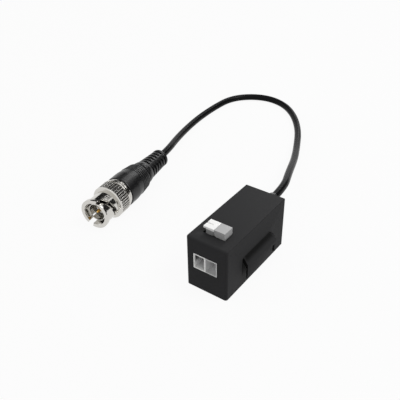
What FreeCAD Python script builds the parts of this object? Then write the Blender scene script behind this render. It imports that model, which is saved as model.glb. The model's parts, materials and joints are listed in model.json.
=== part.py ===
"""Passive video balun: a moulded box with a two-pole push-in terminal, joined by a short lead
to a bayonet video plug.  Millimetres.  The origin is the middle of the box's underside, the wire
entries face -Y, the lead leaves at +Y and the joining rail stands on the +X side."""

import FreeCAD, Part
import math
import os
import re

import Sketcher
from FreeCAD import Placement, Rotation, Vector

doc = FreeCAD.newDocument("video_balun")

# Driving dimensions, one row each: alias, value in millimetres (or degrees, or a count), meaning
SIZES = [
    ("housing_width", 17.0, "box across the wire entries"),
    ("housing_depth", 39.0, "box from the wire entries to the lead outlet"),
    ("housing_height", 21.5, "box from its underside to its top"),
    ("wall", 1.3, "moulded wall of the box"),
    ("front_round", 1.0, "soft edges round the front of the box"),
    ("edge_round", 0.3, "crisp edges elsewhere on the box"),
    ("fit_gap", 0.1, "clearance between moulded pieces that stay put"),
    ("cover_thickness", 1.5, "plate that closes the underside"),
    ("latch_width", 6.0, "snap rib along each side of the cover"),
    ("latch_height", 0.8, "snap rib, upright"),
    ("latch_reach", 0.4, "snap rib, how far it stands into the wall"),
    ("board_height", 3.6, "underside of the circuit board above the floor"),
    ("board_thickness", 1.6, "circuit board"),
    ("board_left_width", 5.2, "left edge of the board from the middle"),
    ("board_right_width", 6.9, "right edge of the board from the middle"),
    ("board_front_gap", 0.8, "board edge behind the front wall"),
    ("board_rear_gap", 4.6, "board edge in front of the rear wall"),
    ("post_radius", 1.1, "posts on the cover that carry the board"),
    ("post_edge_distance", 1.6, "post centres in from the board's edges"),
    ("pole_pitch", 4.9, "distance between the two poles of the terminal"),
    ("terminal_offset", 0.45, "middle of the terminal left of the box's middle"),
    ("module_width", 4.84, "one pole's moulding"),
    ("module_depth", 10.6, "one pole's moulding behind the front wall"),
    ("nozzle_bottom", 9.05, "lower edge of the wire entry's frame"),
    ("nozzle_height", 6.3, "wire entry's frame"),
    ("nozzle_proud", 0.1, "frame in front of the box"),
    ("socket_width", 4.12, "clear width of the wire entry"),
    ("socket_wall", 0.37, "frame above and below the wire entry"),
    ("socket_depth", 11.2, "wire entry, from its mouth to the back of the clamp"),
    ("pocket_wall", 0.4, "moulding beside the lever's pocket"),
    ("lever_setback", 5.35, "front of the lever behind the front of the box"),
    ("lever_length", 4.75, "lever's pad, front to back"),
    ("lever_width", 4.4, "lever's pad, across"),
    ("lever_spacing", 4.5, "distance between the middles of the two pads"),
    ("lever_rise", 2.65, "top of the lever above the box"),
    ("pad_thickness", 0.85, "lever's pad"),
    ("stem_inset", 1.1, "left pad's overhang at the left of its stem"),
    ("stem_drop", 4.3, "stem below the top of the box"),
    ("lever_gap", 0.15, "clearance round the lever"),
    ("skirt_gap", 0.15, "lever's full-width part above the top of the box"),
    ("lever_travel", 1.4, "how far the lever is pressed"),
    ("heel_length", 1.2, "heel behind the stem that the box holds down"),
    ("mark_length", 2.75, "groove across the left pad, from its left edge"),
    ("mark_width", 0.45, "groove across the left pad"),
    ("mark_depth", 0.3, "groove in the left pad"),
    ("contact_thickness", 0.6, "current bar behind the clamp"),
    ("pin_width", 1.0, "solder pin, across"),
    ("pin_drop", 1.2, "solder pin below the board"),
    ("clamp_width", 3.2, "clamping leaf, across"),
    ("clamp_thickness", 0.3, "clamping leaf"),
    ("clamp_reach", 3.0, "clamping leaf in front of the current bar"),
    ("rail_reach", 2.2, "joining rail out from the side"),
    ("rail_flange", 0.8, "rail's hanging flange"),
    ("rail_bottom", 3.9, "lower edge of the flange"),
    ("rail_shoulder", 9.25, "outer upper edge of the rail"),
    ("rail_top", 12.8, "line where the rail's slope meets the side"),
    ("rail_neck", 8.6, "underside of the rail's neck at the flange"),
    ("neck_rise", 1.8, "how much higher the neck's underside meets the side"),
    ("rail_front", -9.0, "front end of the rail along the box"),
    ("rail_length", 19.4, "joining rail"),
    ("rail_corner", 2.4, "rounded upper corner at the rail's rear"),
    ("rail_gap", 0.3, "clearance of a neighbour's rail in the slot"),
    ("lead_in_length", 5.0, "ramp at the front of the rail's outer face"),
    ("lead_in_depth", 0.3, "ramp at the front of the rail's outer face"),
    ("notch_length", 3.8, "top of the three-cornered latch notch in the flange"),
    ("notch_height", 3.7, "top of the latch notch above the flange's lower edge"),
    ("notch_mouth", 0.4, "notch's lower corner below the flange's lower edge"),
    ("notch_inset", 1.0, "flange left behind the notch"),
    ("slot_skin", 0.75, "wall behind the slot"),
    ("outlet_height", 14.5, "lead outlet above the floor"),
    ("neck_radius", 3.1, "grommet in the rear wall"),
    ("flange_radius", 4.1, "grommet's flange inside the wall"),
    ("flange_thickness", 1.0, "grommet's flange"),
    ("collar_radius", 3.9, "grommet's collar outside the wall"),
    ("collar_length", 1.2, "grommet's collar"),
    ("grommet_length", 7.0, "grommet outside the wall"),
    ("grommet_tip", 0.75, "wall of the grommet at its tip"),
    ("lead_diameter", 3.3, "coaxial lead"),
    ("lead_gap", 0.03, "lead in its grommet and in the boot"),
    ("lead_inside", 2.0, "lead behind the grommet's flange"),
    ("lead_straight", 4.0, "straight lead behind the boot"),
    ("core_radius", 0.4, "inner conductor"),
    ("braid_radius", 0.6, "twisted screen"),
    ("tail_spread", 2.0, "solder points left and right of the middle"),
    ("tail_split", 1.05, "screen's start beside the inner conductor"),
    ("tail_length", 2.6, "solder points in front of the lead's end"),
    ("tail_bend", 0.4, "conductors' first bend, sideways and down"),
    ("tail_gap", 0.2, "conductors clear of the lead's cut end and of the board"),
    ("header_radius", 4.6, "plastic foot of the transformer"),
    ("header_height", 0.8, "plastic foot of the transformer"),
    ("ring_outer", 4.0, "ferrite ring, outer radius"),
    ("ring_inner", 2.2, "ferrite ring, inner radius"),
    ("ring_height", 3.4, "ferrite ring"),
    ("wire_size", 0.45, "winding wire"),
    ("turn_gap", 0.03, "turns clear of the ring"),
    ("turn_count", 12, "turns round the ring"),
    ("arrester_radius", 1.8, "surge arrester"),
    ("arrester_length", 5.0, "surge arrester"),
    ("arrester_setback", 5.8, "surge arrester's middle in front of the board's rear edge"),
    ("leg_radius", 0.3, "legs of the soldered pieces"),
    ("leg_reach", 1.0, "arrester's legs beside its ends"),
    ("disc_radius", 2.0, "ceramic disc capacitors"),
    ("disc_thickness", 1.6, "ceramic disc capacitors"),
    ("disc_spacing", 6.0, "distance between the middles of the two discs"),
    ("disc_gap", 0.3, "discs behind the surge arrester"),
    ("disc_lift", 1.0, "discs above the board"),
    ("chip_length", 2.0, "chip resistors"),
    ("chip_width", 1.2, "chip resistors"),
    ("chip_height", 0.6, "chip resistors"),
    ("chip_inset", 0.9, "middles of the chips in from the board's right edge"),
    ("chip_count", 3, "chip resistors in a row"),
    ("chip_pitch", 3.0, "distance between two chips"),
    ("plug_x", -58.0, "mouth of the plug, across"),
    ("plug_y", -15.0, "mouth of the plug, along"),
    ("plug_heading", 97.0, "direction from the mouth to the lead, in degrees"),
    ("floor_gap", 0.02, "knurl above the floor"),
    ("rim_radius", 6.45, "nut's front rim"),
    ("rim_length", 1.3, "nut's front rim"),
    ("rim_bevel", 0.3, "nut's front rim"),
    ("sleeve_radius", 5.85, "nut's slotted sleeve"),
    ("sleeve_bore", 4.9, "bore over the mating socket"),
    ("knurl_start", 8.7, "front of the knurled band"),
    ("knurl_length", 7.0, "knurled band with the plain ring behind its grooves"),
    ("knurl_radius", 7.25, "knurled band"),
    ("knurl_depth", 0.35, "knurl's grooves"),
    ("knurl_margin", 0.35, "plain ring in front of the grooves"),
    ("plain_length", 1.3, "plain ring behind the grooves"),
    ("knurl_count", 48, "knurl's grooves round the band"),
    ("knurl_chamfer", 0.4, "bevel at both ends of the knurl"),
    ("neck_length", 0.3, "turned groove behind the plain ring"),
    ("neck_bottom", 6.0, "radius of the turned groove"),
    ("lip_radius", 6.7, "nut's rear lip"),
    ("lip_length", 1.0, "nut's rear lip"),
    ("chamber_radius", 5.45, "nut's spring chamber"),
    ("chamber_start", 8.9, "front of the spring chamber"),
    ("spigot_radius", 4.1, "plug body inside the nut's web"),
    ("spin_gap", 0.05, "running clearance of the nut on the body"),
    ("slot_width", 2.3, "bayonet slot"),
    ("slot_entry", 3.2, "straight entry of the bayonet slot"),
    ("slot_climb", 3.4, "helical rise of the bayonet slot"),
    ("slot_sweep", 80.0, "turn of the bayonet slot, in degrees"),
    ("slot_eye", 1.3, "radius of the slot's round end"),
    ("slot_rest", 205.0, "where the slots stand at rest, in degrees"),
    ("nut_travel", 0.8, "how far the nut moves forward on its spring"),
    ("shoulder_radius", 5.1, "plug body's flange inside the chamber"),
    ("shoulder_start", 9.4, "front of the plug body's flange"),
    ("shoulder_length", 1.0, "plug body's flange"),
    ("contact_radius", 4.05, "outer contact"),
    ("contact_wall", 0.5, "outer contact"),
    ("contact_bevel", 0.15, "outer contact's front edge"),
    ("contact_start", 1.5, "front of the outer contact"),
    ("contact_seat", 2.0, "outer contact inside the plug body"),
    ("finger_count", 4, "slits of the outer contact"),
    ("finger_slit", 0.5, "width of a slit"),
    ("finger_length", 5.0, "length of a slit"),
    ("insulator_front", 4.6, "front of the insulator"),
    ("insulator_radius", 2.4, "insulator in front"),
    ("insulator_rear", 16.0, "rear of the insulator"),
    ("insulator_seat", 3.2, "insulator's thick part inside the outer contact"),
    ("pin_radius", 0.68, "centre pin"),
    ("pin_start", 1.8, "tip of the centre pin"),
    ("pin_taper", 0.9, "tapered tip of the centre pin"),
    ("pin_end", 18.5, "rear of the centre pin"),
    ("pin_gap", 0.03, "centre pin in the insulator"),
    ("gasket_radius", 4.6, "face seal round the outer contact"),
    ("gasket_length", 0.8, "face seal"),
    ("washer_radius", 5.1, "thrust and spring washers"),
    ("washer_thickness", 0.25, "thrust and spring washers"),
    ("washer_gap", 0.1, "washers on the plug body"),
    ("bow_height", 0.5, "rise of the bowed spring washer at its sides"),
    ("clip_radius", 5.0, "retaining ring behind the nut"),
    ("clip_length", 0.5, "retaining ring"),
    ("clip_gap", 0.15, "nut in front of the retaining ring"),
    ("clip_depth", 0.5, "groove of the retaining ring"),
    ("clip_opening", 40.0, "mouth of the retaining ring, in degrees"),
    ("spigot_tail", 0.9, "plug body's thick part behind the retaining ring"),
    ("stem_radius", 1.3, "plug body's crimp stem"),
    ("stem_length", 9.4, "plug body's crimp stem"),
    ("crimp_radius", 2.5, "crimp sleeve"),
    ("crimp_length", 11.4, "crimp sleeve"),
    ("boot_gap", 0.3, "boot behind the nut"),
    ("boot_radius", 7.0, "boot's grip"),
    ("boot_bevel", 0.5, "boot's front edge"),
    ("grip_length", 5.4, "boot's straight part"),
    ("taper_length", 9.4, "boot's taper"),
    ("taper_radius", 5.9, "boot at the end of its taper"),
    ("waist_slope", 0.6, "bevel between the taper and the waist"),
    ("waist_length", 0.7, "waist behind the taper"),
    ("waist_radius", 4.6, "waist behind the taper"),
    ("bulb_radius", 5.25, "first part of the strain relief"),
    ("bulb_round", 0.6, "bulb's front edge"),
    ("bulb_straight", 0.9, "bulb's straight part"),
    ("bulb_slope", 1.9, "bulb's slope to the ribs"),
    ("rib_count", 5, "ribs of the strain relief"),
    ("rib_first", 4.75, "radius of the first rib"),
    ("rib_last", 4.05, "radius of the last rib"),
    ("rib_groove", 0.95, "depth of the grooves between ribs"),
    ("relief_length", 10.6, "ribbed part of the strain relief"),
    ("end_collar", 2.6, "collar at the end of the boot"),
    ("end_radius", 4.05, "collar at the end of the boot"),
    ("end_bevel", 0.4, "rear edge of the boot"),
    ("bridge_width", 1.7, "bridges that join the ribs across their grooves"),
    ("bridge_sink", 0.2, "bridges below the ribs' outside"),
    ("bridge_angle", 43.0, "where the bridges stand round the boot, in degrees"),
]

sheet = doc.addObject("Spreadsheet::Sheet", "Sizes")
for row, (alias, number, meaning) in enumerate(SIZES, start=1):
    sheet.set(f"A{row}", meaning)
    sheet.set(f"B{row}", str(number))
    sheet.setAlias(f"B{row}", alias)
doc.recompute()

ALIASES = {alias for alias, number, meaning in SIZES}
ALIAS_WORD = re.compile(r"[A-Za-z_]\w*")


def size(alias):
    """The value that the sheet holds for one driving dimension."""
    return float(sheet.get(alias))


def formula(text):
    """A formula of the sheet: each alias in the text gets the sheet's name in front."""
    def qualified(found):
        word = found.group(0)
        return f"Sizes.{word}" if word in ALIASES else word
    return ALIAS_WORD.sub(qualified, str(text))


def bind(thing, **formulas):
    """Tie properties to the sheet; two underscores in a keyword stand for a dot."""
    for key, text in formulas.items():
        thing.setExpression(key.replace("__", "."), formula(text))
    return thing


def block(name, x, y, z):
    """A rectangular block between pairs of planes, each pair given as two formulas."""
    made = doc.addObject("Part::Box", name)
    return bind(made, Length=f"({x[1]}) - ({x[0]})", Width=f"({y[1]}) - ({y[0]})",
                Height=f"({z[1]}) - ({z[0]})", Placement__Base__x=x[0],
                Placement__Base__y=y[0], Placement__Base__z=z[0])


def rod(name, radius, start, length, axis=Vector(0, 0, 1)):
    """A round bar that starts at a point given by three formulas and runs along an axis."""
    made = doc.addObject("Part::Cylinder", name)
    made.Placement.Rotation = Rotation(Vector(0, 0, 1), axis)
    return bind(made, Radius=radius, Height=length, Placement__Base__x=start[0],
                Placement__Base__y=start[1], Placement__Base__z=start[2])


def joined(name, *pieces):
    made = doc.addObject("Part::MultiFuse", name)
    made.Shapes = list(pieces)
    return made


def common(name, first, second):
    made = doc.addObject("Part::Common", name)
    made.Base = first
    made.Tool = second
    return made


def without(name, base, *tools):
    """The base with every tool cut out of it."""
    made = doc.addObject("Part::Cut", name)
    made.Base = base
    made.Tool = tools[0] if len(tools) == 1 else joined(f"{name}_tools", *tools)
    return made


def rounded(name, base, choices):
    """Fillets on chosen edges; each choice is a radius and a test on an edge's box."""
    doc.recompute()
    edges = []
    for number, edge in enumerate(base.Shape.Edges, start=1):
        for radius, test in choices:
            if test(edge.BoundBox):
                edges.append((number, radius, radius))
                break
    made = doc.addObject("Part::Fillet", name)
    made.Base = base
    made.Edges = edges
    return made


def sketched(body, name, plane_role, points):
    """A closed outline of straight lines in one of the body's own planes.  Each corner is a
    pair of formulas, measured from the body's origin."""
    sketch = body.newObject("Sketcher::SketchObject", name)
    plane = [item for item in body.Origin.OriginFeatures if item.Role == plane_role][0]
    sketch.AttachmentSupport = [(plane, "")]
    sketch.MapMode = "FlatFace"
    count = len(points)
    # Any closed outline will do to start with, because the rules move every corner
    start = [Vector(math.cos(2 * math.pi * k / count), math.sin(2 * math.pi * k / count), 0)
             for k in range(count)]
    sketch.addGeometry([Part.LineSegment(start[k], start[(k + 1) % count])
                        for k in range(count)])
    rules = [Sketcher.Constraint("Coincident", k, 2, (k + 1) % count, 1) for k in range(count)]
    for k in range(count):
        rules.append(Sketcher.Constraint("DistanceX", -1, 1, k, 1, start[k].x))
        rules.append(Sketcher.Constraint("DistanceY", -1, 1, k, 1, start[k].y))
    sketch.addConstraint(rules)
    for k, (across, along) in enumerate(points):
        sketch.setExpression(f"Constraints[{count + 2 * k}]", formula(across))
        sketch.setExpression(f"Constraints[{count + 2 * k + 1}]", formula(along))
    return sketch


def turned(name, points):
    """A turned piece: an outline of (radius, station) corners, revolved about its own Z."""
    body = doc.addObject("PartDesign::Body", name)
    sketch = sketched(body, f"{name}_outline", "XZ_Plane", points)
    turn = body.newObject("PartDesign::Revolution", f"{name}_turn")
    turn.Profile = sketch
    turn.ReferenceAxis = (sketch, ["V_Axis"])
    turn.Angle = 360
    sketch.Visibility = False
    return body


def extruded(name, points, plane_role, width):
    """A prism, half of it on each side of the plane that its outline is drawn in."""
    body = doc.addObject("PartDesign::Body", name)
    sketch = sketched(body, f"{name}_outline", plane_role, points)
    pad = body.newObject("PartDesign::Pad", f"{name}_pad")
    pad.Profile = sketch
    pad.Midplane = True
    bind(pad, Length=width)
    return body


# Cutting shapes reach this far past what they cut
PAST = 1.0
# Edges are found by their boxes to within this much
TOUCH = 0.01

nodes = []


def node(label, made, placement=None):
    """Name a finished sub-part and, if it is drawn in another frame, put it in its place."""
    if placement is not None:
        made.Placement = placement
    made.Label = label
    nodes.append(made)
    return made


# Planes of the box that many pieces share
FRONT = "-housing_depth/2"
REAR = "housing_depth/2"
SIDE = "housing_width/2"
INNER_TOP = "housing_height - wall"
BOARD_TOP = "board_height + board_thickness"

# Housing shell: five moulded walls, open below, with the joining rail on its right
outer = block("outer", ("-" + SIDE, SIDE), (FRONT, REAR), (0, "housing_height"))
front_line = -size("housing_depth") / 2
top_line = size("housing_height")


def soft_edge(box):
    """Upright front edges and the top edge over the wire entries."""
    flat_front = abs(box.YMax - front_line) < TOUCH
    return flat_front and (box.ZLength > PAST or box.ZMin > top_line - TOUCH)


def rear_edge(box):
    """Upright rear edges."""
    return box.ZLength > PAST and box.YMin > -front_line - TOUCH


def top_edge(box):
    """The top's outline behind the soft front."""
    return box.ZMin > top_line - TOUCH and box.YMax > front_line + size("front_round") + TOUCH


soft_outer = rounded("soft_outer", outer, [(size("front_round"), soft_edge)])
rear_outer = rounded("rear_outer", soft_outer, [(size("edge_round"), rear_edge)])
crisp_outer = rounded("crisp_outer", rear_outer, [(size("edge_round"), top_edge)])

cavity = block("cavity", ("-" + SIDE + " + wall", SIDE + " - wall"),
               (FRONT + " + wall", REAR + " - wall"), (-PAST, INNER_TOP))

SLOT_DEEP = "-" + SIDE + " + rail_reach + rail_gap/2"
blister = block("blister", ("-" + SIDE + " + wall/2", SLOT_DEEP + " + slot_skin"),
                ("rail_front - rail_gap - slot_skin", REAR + " - wall/2"),
                ("rail_bottom - rail_gap - slot_skin", "rail_top + rail_gap + slot_skin"))
slot = block("slot", (f"-{SIDE} - {PAST}", SLOT_DEEP),
             ("rail_front - rail_gap", f"{REAR} + {PAST}"),
             ("rail_bottom - rail_gap", "rail_top + rail_gap"))
slot_lip = block("slot_lip", ("-" + SIDE, "-" + SIDE + " + rail_reach - rail_flange - rail_gap"),
                 ("rail_front - rail_gap - slot_skin/2", REAR + " - edge_round"),
                 ("rail_bottom - rail_gap - slot_skin/2", "rail_neck - rail_gap"))

NECK_SIDE = "rail_neck + neck_rise"
rail_section = extruded("rail_section", [
    (SIDE + " - wall/2", "rail_top"), (SIDE, "rail_top"),
    (SIDE + " + rail_reach", "rail_shoulder"), (SIDE + " + rail_reach", "rail_bottom"),
    (SIDE + " + rail_reach - rail_flange", "rail_bottom"),
    (SIDE + " + rail_reach - rail_flange", "rail_neck"), (SIDE, NECK_SIDE),
    (SIDE + " - wall/2", NECK_SIDE)], "XZ_Plane", "2*housing_depth")
rail_side = block("rail_side", (SIDE + " - wall", f"{SIDE} + rail_reach + {PAST}"),
                  ("rail_front", "rail_front + rail_length"), ("rail_bottom", "rail_top"))
rail_end = size("rail_front") + size("rail_length")
rail_peak = size("rail_top")
rail_shape = rounded("rail_shape", rail_side, [(
    size("rail_corner"),
    lambda box: box.YMin > rail_end - TOUCH and box.ZMin > rail_peak - TOUCH)])
rail = common("rail", rail_section, rail_shape)
lead_in = extruded("lead_in", [
    (f"{SIDE} + rail_reach + {PAST}", f"rail_front - {PAST}"),
    (f"{SIDE} + rail_reach + {PAST}", "rail_front + lead_in_length"),
    (SIDE + " + rail_reach", "rail_front + lead_in_length"),
    (SIDE + " + rail_reach - lead_in_depth", "rail_front"),
    (SIDE + " + rail_reach - lead_in_depth", f"rail_front - {PAST}")],
    "XY_Plane", "2*housing_height")
NOTCH_END = "rail_front + rail_length - notch_inset"
notch = extruded("notch", [
    (NOTCH_END, "rail_bottom - notch_mouth"), (NOTCH_END, "rail_bottom + notch_height"),
    (NOTCH_END + " - notch_length", "rail_bottom + notch_height")],
    "YZ_Plane", f"rail_reach + {PAST}")
bind(notch, Placement__Base__x=f"{SIDE} + rail_gap + (rail_reach + {PAST})/2")

TERMINAL_X = "-terminal_offset"
TERMINAL_HALF = "(pole_pitch + module_width)/2 + fit_gap/2"
nozzle_window = block("nozzle_window",
                      (TERMINAL_X + " - (" + TERMINAL_HALF + ")",
                       TERMINAL_X + " + (" + TERMINAL_HALF + ")"),
                      (f"{FRONT} - {PAST}", f"{FRONT} + wall + {PAST}"),
                      ("nozzle_bottom - fit_gap/2", "nozzle_bottom + nozzle_height + fit_gap/2"))
LEVER_HALF = "(lever_spacing + lever_width)/2 + lever_gap"
LEVER_FRONT = FRONT + " + lever_setback"
LEVER_REAR = LEVER_FRONT + " + lever_length"
lever_window = block("lever_window",
                     (TERMINAL_X + " - (" + LEVER_HALF + ")",
                      TERMINAL_X + " + (" + LEVER_HALF + ")"),
                     (LEVER_FRONT + " - lever_gap", LEVER_REAR + " + lever_gap"),
                     (f"{INNER_TOP} - {PAST}", f"housing_height + {PAST}"))
outlet = rod("outlet", "neck_radius + fit_gap/2", (0, REAR + " - 2*wall", "outlet_height"),
             "4*wall", Vector(0, 1, 0))
latch_slots = [
    block(f"latch_slot_{side}", (f"{low}", f"{high}"),
          ("-latch_width/2 - fit_gap", "latch_width/2 + fit_gap"),
          ("cover_thickness - latch_height - fit_gap", "cover_thickness + fit_gap"))
    for side, low, high in (
        ("left", f"-{SIDE} + wall - latch_reach - fit_gap", f"-{SIDE} + wall + {PAST}"),
        ("right", f"{SIDE} - wall - {PAST}", f"{SIDE} - wall + latch_reach + fit_gap"))]

shell_walls = without("shell_walls", crisp_outer, cavity)
shell_with_rail = joined("shell_with_rail", shell_walls, blister, rail)
shell_cut = without("shell_cut", shell_with_rail, slot, lead_in, notch, nozzle_window,
                    lever_window, outlet, *latch_slots)
node("housing_shell", joined("housing_shell_body", shell_cut, slot_lip))

# Bottom cover: a plate that snaps in, with four posts under the board
plate = block("plate", ("-" + SIDE + " + wall + fit_gap", SIDE + " - wall - fit_gap"),
              (FRONT + " + wall + fit_gap", REAR + " - wall - fit_gap"), (0, "cover_thickness"))
BOARD_FRONT = FRONT + " + wall + board_front_gap"
BOARD_REAR = REAR + " - wall - board_rear_gap"
posts = [rod(f"post_{number}", "post_radius", (x, y, "cover_thickness/2"),
             "board_height - cover_thickness/2")
         for number, (x, y) in enumerate([
             ("-board_left_width + post_edge_distance", BOARD_FRONT + " + post_edge_distance"),
             ("board_right_width - post_edge_distance", BOARD_FRONT + " + post_edge_distance"),
             ("-board_left_width + post_edge_distance", BOARD_REAR + " - post_edge_distance"),
             ("board_right_width - post_edge_distance", BOARD_REAR + " - post_edge_distance")], start=1)]
latches = [
    block(f"latch_{side}", (low, high), ("-latch_width/2", "latch_width/2"),
          ("cover_thickness - latch_height", "cover_thickness"))
    for side, low, high in (
        ("left", f"-{SIDE} + wall - latch_reach", f"-{SIDE} + wall + latch_reach"),
        ("right", f"{SIDE} - wall - latch_reach", f"{SIDE} - wall + latch_reach"))]
node("bottom_cover", joined("bottom_cover_body", plate, *posts, *latches))

# Circuit board with the holes of the terminal's two solder pins
CONTACT_REAR = FRONT + " - nozzle_proud + socket_depth"
CONTACT_FRONT = CONTACT_REAR + " - contact_thickness"
board_blank = block("board_blank", ("-board_left_width", "board_right_width"), (BOARD_FRONT, BOARD_REAR),
                    ("board_height", BOARD_TOP))


def pole_x(side):
    """Middle of one pole: side is -1 for the left pole and 1 for the right one."""
    return f"{TERMINAL_X} + {side}*pole_pitch/2"


def pin_space(name, side, gap, low, high):
    """The upright space of one solder pin, with a gap all round it."""
    return block(name, (f"{pole_x(side)} - pin_width/2 - {gap}",
                        f"{pole_x(side)} + pin_width/2 + {gap}"),
                 (f"{CONTACT_FRONT} - {gap}", f"{CONTACT_REAR} + {gap}"), (low, high))


board_holes = [pin_space(f"board_hole_{word}", side, "fit_gap", 0, "housing_height/2")
               for word, side in (("left", -1), ("right", 1))]
node("circuit_board", without("circuit_board_body", board_blank, *board_holes))

# Push-in terminal: for each pole a moulding, a lever, a current bar and a clamping leaf
SOCKET_LOW = "nozzle_bottom + socket_wall"
SOCKET_HIGH = "nozzle_bottom + nozzle_height - socket_wall"
MODULE_FRONT = FRONT + " + wall + fit_gap"
STEM_LOW = "housing_height - stem_drop"

for word, side in (("left", -1), ("right", 1)):
    middle = pole_x(side)
    moulding = block(f"{word}_moulding",
                     (f"{middle} - module_width/2", f"{middle} + module_width/2"),
                     (MODULE_FRONT, MODULE_FRONT + " + module_depth"),
                     (BOARD_TOP, INNER_TOP + " - fit_gap"))
    nozzle = block(f"{word}_nozzle",
                   (f"{middle} - module_width/2", f"{middle} + module_width/2"),
                   (FRONT + " - nozzle_proud", MODULE_FRONT + " + wall"),
                   ("nozzle_bottom", "nozzle_bottom + nozzle_height"))
    socket = block(f"{word}_socket", (f"{middle} - socket_width/2", f"{middle} + socket_width/2"),
                   (f"{FRONT} - nozzle_proud - {PAST}", CONTACT_REAR), (SOCKET_LOW, SOCKET_HIGH))
    pocket = block(f"{word}_pocket",
                   (f"{middle} - module_width/2 + pocket_wall",
                    f"{middle} + module_width/2 - pocket_wall"),
                   (LEVER_FRONT + " - lever_gap", LEVER_REAR + " + heel_length + lever_gap"),
                   (STEM_LOW + " - lever_travel - lever_gap", "housing_height"))
    drop = pin_space(f"{word}_pin_slot", side, "fit_gap/2", 0, f"{SOCKET_LOW} + {PAST}")
    node(f"{word}_terminal", without(f"{word}_terminal_body",
                                     joined(f"{word}_blank", moulding, nozzle),
                                     socket, pocket, drop))

    pad_middle = f"{TERMINAL_X} + {side}*lever_spacing/2"
    pad_left = f"{pad_middle} - lever_width/2"
    pad_right = f"{pad_middle} + lever_width/2"
    pad = block(f"{word}_pad", (pad_left, pad_right), (LEVER_FRONT, LEVER_REAR),
                ("housing_height + lever_rise - pad_thickness", "housing_height + lever_rise"))
    pocket_left = f"{middle} - module_width/2 + pocket_wall + lever_gap"
    pocket_right = f"{middle} + module_width/2 - pocket_wall - lever_gap"
    stem_left = f"{pad_left} + stem_inset" if word == "left" else pocket_left
    stem = block(f"{word}_stem", (stem_left, pocket_right), (LEVER_FRONT, LEVER_REAR),
                 (STEM_LOW, "housing_height + lever_rise - pad_thickness/2"))
    skirt_left = stem_left if word == "left" else pad_left
    skirt = block(f"{word}_skirt", (skirt_left, pad_right), (LEVER_FRONT, LEVER_REAR),
                  ("housing_height + skirt_gap", "housing_height + lever_rise - pad_thickness/2"))
    heel = block(f"{word}_heel", (stem_left, pocket_right),
                 (LEVER_REAR + " - heel_length", LEVER_REAR + " + heel_length"),
                 (STEM_LOW, INNER_TOP + " - fit_gap"))
    lever = joined(f"{word}_lever_blank", pad, stem, skirt, heel)
    if word == "left":
        mark = block("mark", (f"{pad_left} - {PAST}", f"{pad_left} + mark_length"),
                     (f"{LEVER_REAR} - lever_length/2 - mark_width/2",
                      f"{LEVER_REAR} - lever_length/2 + mark_width/2"),
                     ("housing_height + lever_rise - mark_depth",
                      f"housing_height + lever_rise + {PAST}"))
        lever = without("marked_lever", lever, mark)
    node(f"{word}_lever", lever)

    bar = block(f"{word}_bar", (f"{middle} - clamp_width/2", f"{middle} + clamp_width/2"),
                (CONTACT_FRONT, CONTACT_REAR), (SOCKET_LOW, SOCKET_HIGH))
    pin = pin_space(f"{word}_pin", side, 0, "board_height - pin_drop",
                    SOCKET_LOW + " + contact_thickness")
    node(f"{word}_contact", joined(f"{word}_contact_body", bar, pin))

    leaf_top = SOCKET_HIGH + " - clamp_thickness"
    leaf_front = CONTACT_FRONT + " - clamp_reach"
    leaf = extruded(f"{word}_leaf", [
        (CONTACT_FRONT, leaf_top), (CONTACT_FRONT, SOCKET_HIGH), (leaf_front, SOCKET_HIGH),
        (leaf_front + " - clamp_thickness", leaf_top),
        (CONTACT_FRONT + " - 2*clamp_thickness", SOCKET_LOW + " + 2*clamp_thickness"),
        (CONTACT_FRONT + " - clamp_thickness", SOCKET_LOW + " + 2*clamp_thickness"),
        (leaf_front + " + clamp_thickness/2", leaf_top),
    ], "YZ_Plane", "clamp_width")
    bind(leaf, Placement__Base__x=middle)
    node(f"{word}_clamp_spring", leaf)

# Signal transformer: a ferrite ring with its turns, on a plastic foot
HEADER_TOP = BOARD_TOP + " + header_height"
MODULE_REAR = f"({MODULE_FRONT} + module_depth)"
ARRESTER_Y = f"({BOARD_REAR} - arrester_setback)"
TRANSFORMER_Y = f"(({MODULE_REAR} + {ARRESTER_Y} - arrester_radius)/2)"
node("transformer_foot", rod("transformer_foot_body", "header_radius",
                             (0, TRANSFORMER_Y, BOARD_TOP), "header_height"))
RING_LOW = HEADER_TOP + " + wire_size + turn_gap"
ring_blank = rod("ring_blank", "ring_outer", (0, TRANSFORMER_Y, RING_LOW), "ring_height")
ring_hole = rod("ring_hole", "ring_inner", (0, TRANSFORMER_Y, HEADER_TOP), "2*ring_height")
node("ferrite_ring", without("ferrite_ring_body", ring_blank, ring_hole))

turn_count = int(size("turn_count"))
wire_size = size("wire_size")
ring_low = (size("board_height") + size("board_thickness") + size("header_height")
            + wire_size + size("turn_gap"))
turn_gap = size("turn_gap")
window_width = size("ring_outer") - size("ring_inner") + 2 * turn_gap
window_height = size("ring_height") + 2 * turn_gap
window_corner = Vector(size("ring_inner") - turn_gap, -wire_size / 2, ring_low - turn_gap)
turn_outside = Part.makeBox(
    window_width + 2 * wire_size, wire_size, window_height + 2 * wire_size,
    window_corner - Vector(wire_size, 0, wire_size))
turn_inside = Part.makeBox(window_width, wire_size, window_height, window_corner)
one_turn = turn_outside.cut(turn_inside)
doc.recompute()
transformer_place = Vector(0, ring_blank.Placement.Base.y, 0)
turns = []
for number in range(turn_count):
    turn = one_turn.copy()
    turn.rotate(Vector(0, 0, 0), Vector(0, 0, 1), 360 * number / turn_count)
    turn.translate(transformer_place)
    turns.append(turn)
winding = doc.addObject("Part::Feature", "winding")
winding.Shape = Part.makeCompound(turns)
node("transformer_winding", winding)

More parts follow.
